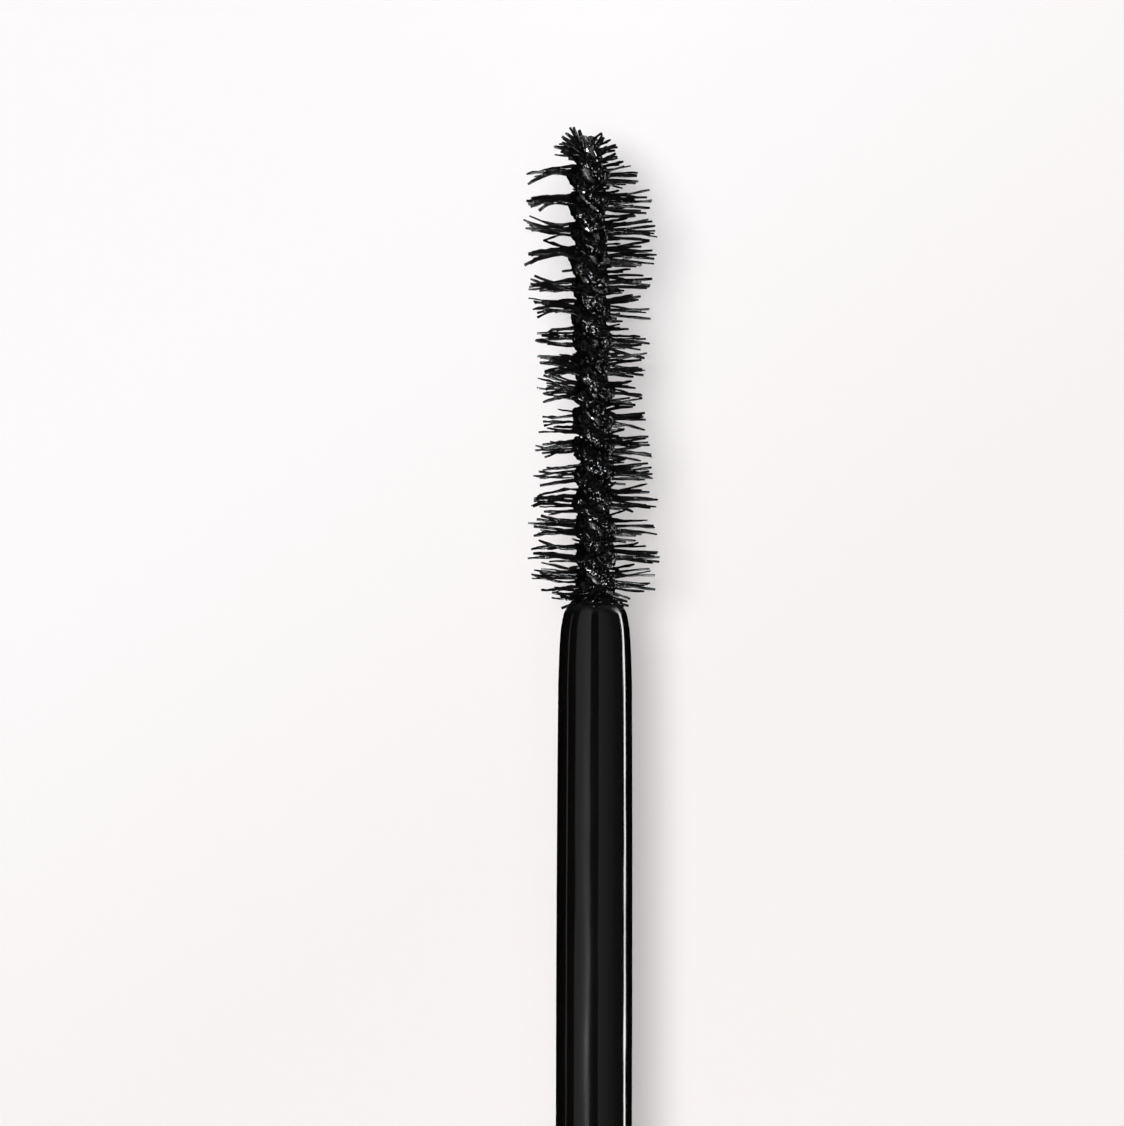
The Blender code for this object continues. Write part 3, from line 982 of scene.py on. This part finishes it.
def loose_fibre(root, turn, level):
    """A fibre that stands out straight, or None where the far side is thinner."""
    far_side = abs(level) > THINNED_ANGLE
    if far_side and rng.random() < (0.30 if root < THINNED_END else 0.05):
        return None
    tip_back = root + rng.gauss(0, 0.00027)
    if root > LEANS_OUT_FROM:
        tip_back += (root - LEANS_OUT_FROM) * rng.uniform(0.2, 0.8)
        tip_back = min(tip_back, BRUSH_LENGTH - rng.uniform(0.0004, 0.0012))
    if root < BASE_LENGTH:
        tip_back -= (BASE_LENGTH - root) * rng.uniform(0.1, 0.9)
    side = 1 if abs(level) > LOOSE_ANGLE else 0
    reach = trim_radius(tip_back, side) * min(1.0, rng.gauss(0.95, 0.04))
    thick = FIBRE_R * rng.uniform(0.62, 0.95)
    return fibre(root, turn, tip_back, turn + rng.gauss(0, 0.17), reach, thick)


fibres = []
ends = int(BRUSH_LENGTH / TWIST_LEAD * ENDS_PER_TURN)
for phase in (0, math.pi):
    for i in range(ends):
        root = 0.00012 + (WIRE_LENGTH - 0.0002) * (i + rng.uniform(-0.35, 0.35)) / ends
        turn = turn_at(root) + phase + rng.gauss(0, 0.08)
        level = math.remainder(turn, math.tau)
        if root > DENSE_END and rng.random() < 0.45:
            continue
        if abs(level) < COMBED_ANGLE and root < COMBED_END:
            line = combed_fibre(root, turn, level)
        else:
            line = loose_fibre(root, turn, level)
        if line:
            fibres.append(line)
for i in range(TIP_STUBS):
    turn = math.tau * i * STUB_TURN + rng.gauss(0, 0.15)
    turn -= 0.5 * math.sin(turn)
    ahead = i % 3 == 0
    lean = math.radians(rng.uniform(8, 38) if ahead else rng.uniform(40, 80))
    root = rng.uniform(0.0237, 0.0247)
    length = rng.uniform(0.0011, 0.0015) * (1.25 if ahead else 1.1)
    tip_back = min(BRUSH_LENGTH - 0.0001, root + length * math.cos(lean))
    reach = FIBRE_ROOT_R + length * math.sin(lean)
    thick = FIBRE_R * rng.uniform(0.95, 1.2)
    fibres.append(fibre(root, turn, tip_back, turn, reach, thick, lump=0.2, points=6))
for i in range(BASE_STUBS):
    turn = math.tau * i / BASE_STUBS + rng.gauss(0, 0.12)
    root = rng.uniform(0.0003, 0.0008)
    tip_back = root - rng.uniform(0.0003, 0.0010)
    fibres.append(fibre(root, turn, tip_back, turn, rng.uniform(0.0014, 0.0019), FIBRE_R, points=5))
bristles = drawn_lines("bristle_fibres", fibres, smooth=70)
bristle_finish = Finish("bristle_coated_black", (0.003, 0.0026, 0.0026), 0.3, Specular_IOR_Level=0.31)
coating = bristle_finish.noise(5200)
clumps = bristle_finish.noise(900, detail=2.0)
bristle_finish.feed(
    Base_Color=bristle_finish.mix(clumps, (0.0014, 0.0012, 0.0012), (0.0050, 0.0040, 0.0037)),
    Roughness=coating * 0.18 + 0.08,
)
bristle_finish.bump(coating, 0.00003)
dress(bristles, bristle_finish, "bristle_black", "wand", "brush_bristles")

# ---- Floor ---------------------------------------------------------------------------------------
# A sheet of matt white paper far wider than the tube, which everything lies on. Its colour has
# painted light in it: a little brighter towards the brush's tip and its combed side, fading with
# distance.

PAPER = (0.930, 0.893, 0.884)
PAPER_PAINTED_LIGHT = (0.976, 0.958, 0.967)

deselect_all()
bpy.ops.mesh.primitive_plane_add(size=30, location=(0, 0, 0))
floor = name_and_place("paper_floor")
floor_finish = Finish("paper_white", PAPER, 1.0, Specular_IOR_Level=0.0)
# Painted light: the paper's colour is lighter in a pool towards the brush's tip and combed side, fading
# with distance.
painted_light_along = (floor_finish.along() + 0.0184) * 17.9
painted_light_across = (floor_finish.along(1) - 0.0018) * 13.0
far_off = floor_finish.node(
    "ShaderNodeVectorMath", 1, {"operation": "LENGTH"}, _0=floor_finish.place
)
painted_light_fade = (1.0 - far_off.step_up(0.03, 1.5)) ** 3.0
painted_light = (painted_light_along + painted_light_across + 0.45).step_up(0.22, 0.92) * painted_light_fade
floor_finish.feed(Base_Color=floor_finish.mix(painted_light, PAPER, PAPER_PAINTED_LIGHT))
floor.data.materials.append(floor_finish.material)
floor.visible_glossy = False
floor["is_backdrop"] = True

# ---- Studio light --------------------------------------------------------------------------------
# A soft key from the combed side and a shadowless fill from above. Long cards beside the tube and
# small lamps off its ends light nothing, and are seen only as reflections in what is glossy or wet.

LIGHT_DISTANCE = 0.6
COOL_WHITE = (0.90, 0.95, 1.0)


def sun(name, power, spread, toward):
    """Even light along a direction."""
    data = bpy.data.lights.new(name, "SUN")
    data.energy = power
    data.angle = math.radians(spread)
    lamp = bpy.data.objects.new(name, data)
    bpy.context.scene.collection.objects.link(lamp)
    lamp.rotation_euler = Vector(toward).to_track_quat("-Z", "Y").to_euler()
    lamp.visible_glossy = False
    lamp.visible_camera = False
    return lamp


key_tilt = math.tan(math.radians(10.6))
sun("key_sun", math.pi * 0.455, 19, (-0.09, -key_tilt, -1))
fill = sun("fill_sun", math.pi * 0.56, 30, (0, 0, -1))
fill.data.use_shadow = False


def seen_in_gloss_only(piece, finish):
    """Make a bright surface part of the studio that shows in reflections and lights nothing."""
    piece.data.materials.append(finish.material)
    piece.visible_camera = False
    piece.visible_diffuse = False
    piece.visible_shadow = False
    piece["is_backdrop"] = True


def card(name, low, high, strength_low, strength_high, length=2.4):
    """A long reflector beside the tube between two angles from upright; its light changes across."""
    middle = math.radians((low + high) / 2)
    width = 2 * LIGHT_DISTANCE * math.tan(math.radians((high - low) / 2))
    across = LIGHT_DISTANCE * math.sin(middle)
    up = LIGHT_DISTANCE * math.cos(middle)
    deselect_all()
    bpy.ops.mesh.primitive_plane_add(
        size=1, location=(0, across, AXIS_Z + up), rotation=(-middle, 0, 0)
    )
    piece = bpy.context.object
    piece.name = name
    piece.scale = (length, width, 1)
    bpy.ops.object.transform_apply(location=False, rotation=False, scale=True)
    finish = Finish(name + "_glow", (0, 0, 0), 1.0, Specular_IOR_Level=0.0, Emission_Strength=1.0)
    share = (finish.along(1) / width + 0.5).clamped()
    level = share * (strength_high - strength_low) + strength_low
    glow = finish.node(
        "ShaderNodeMix",
        2,
        {"data_type": "RGBA", "clamp_factor": False},
        _0=level,
        _6=(0, 0, 0, 1),
        _7=(1, 1, 1, 1),
    )
    finish.feed(Emission_Color=glow)
    seen_in_gloss_only(piece, finish)


card("left_softbox", 15, 63, 0.59, 0.34)
card("right_softbox", -63, -11.5, 0.10, 0.32)
card("right_falloff", -90, -63, 0.045, 0.08)
card("right_strip", -109.5, -102.5, 15.0, 15.0)
card("left_edge_line", 94, 96.5, 0.9, 0.9, length=0.5)


def glint(name, toward, spread, strength):
    """A small round lamp off one end, seen only as glints in the wet paste or a sheen on a flat end."""
    toward = Vector(toward).normalized()
    deselect_all()
    bpy.ops.mesh.primitive_circle_add(
        vertices=32,
        radius=LIGHT_DISTANCE * math.tan(math.radians(spread)),
        fill_type="NGON",
        location=toward * LIGHT_DISTANCE,
        rotation=toward.to_track_quat("Z", "Y").to_euler(),
    )
    piece = bpy.context.object
    piece.name = name
    finish = Finish(
        name + "_glow",
        (0, 0, 0),
        1.0,
        Specular_IOR_Level=0.0,
        Emission_Color=(*COOL_WHITE, 1),
        Emission_Strength=strength,
    )
    seen_in_gloss_only(piece, finish)


glint("wire_glint", (-0.30, 0.36, 0.88), 6, 115)
glint("side_glint", (-0.62, -0.24, 0.72), 4, 190)
glint("low_glint", (-0.78, 0.34, 0.50), 4, 190)
glint("base_sheen", (0.997, 0.0, -0.075), 10, 0.5)
glint("end_sheen", (-0.997, 0.0, -0.075), 10, 0.35)

# ---- Camera and surroundings ---------------------------------------------------------------------
# A long lens straight above the brush. Beyond the paper there is only the same pale tone.

world = bpy.data.worlds.new("pale")
bpy.context.scene.world = world
world.use_nodes = True
background = world.node_tree.nodes["Background"]
background.inputs["Color"].default_value = (*PAPER, 1)
world.cycles_visibility.glossy = False
world.cycles_visibility.diffuse = False
world.cycles_visibility.scatter = False
world.cycles_visibility.transmission = False
bpy.context.scene.view_settings.view_transform = "Standard"

BRUSH_MIDDLE = (-0.01844, 0.00182)
CAMERA_RISE = 0.70
CAMERA_TURN = 0.0028
SENSOR_WIDTH = 36
SEEN_LENGTH = 0.06136

camera_data = bpy.data.cameras.new("camera")
camera_data.sensor_width = SENSOR_WIDTH
camera_data.lens = SENSOR_WIDTH * CAMERA_RISE / SEEN_LENGTH
camera_data.clip_end = 20
camera = bpy.data.objects.new("camera", camera_data)
bpy.context.scene.collection.objects.link(camera)
camera.location = (*BRUSH_MIDDLE, AXIS_Z + CAMERA_RISE)
camera.rotation_euler = (0, 0, -math.pi / 2 + CAMERA_TURN)
bpy.context.scene.camera = camera

# ---- Size ----------------------------------------------------------------------------------------
# The box round the visual model, leaving out the paper and the studio's cards and lamps.

low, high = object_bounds()
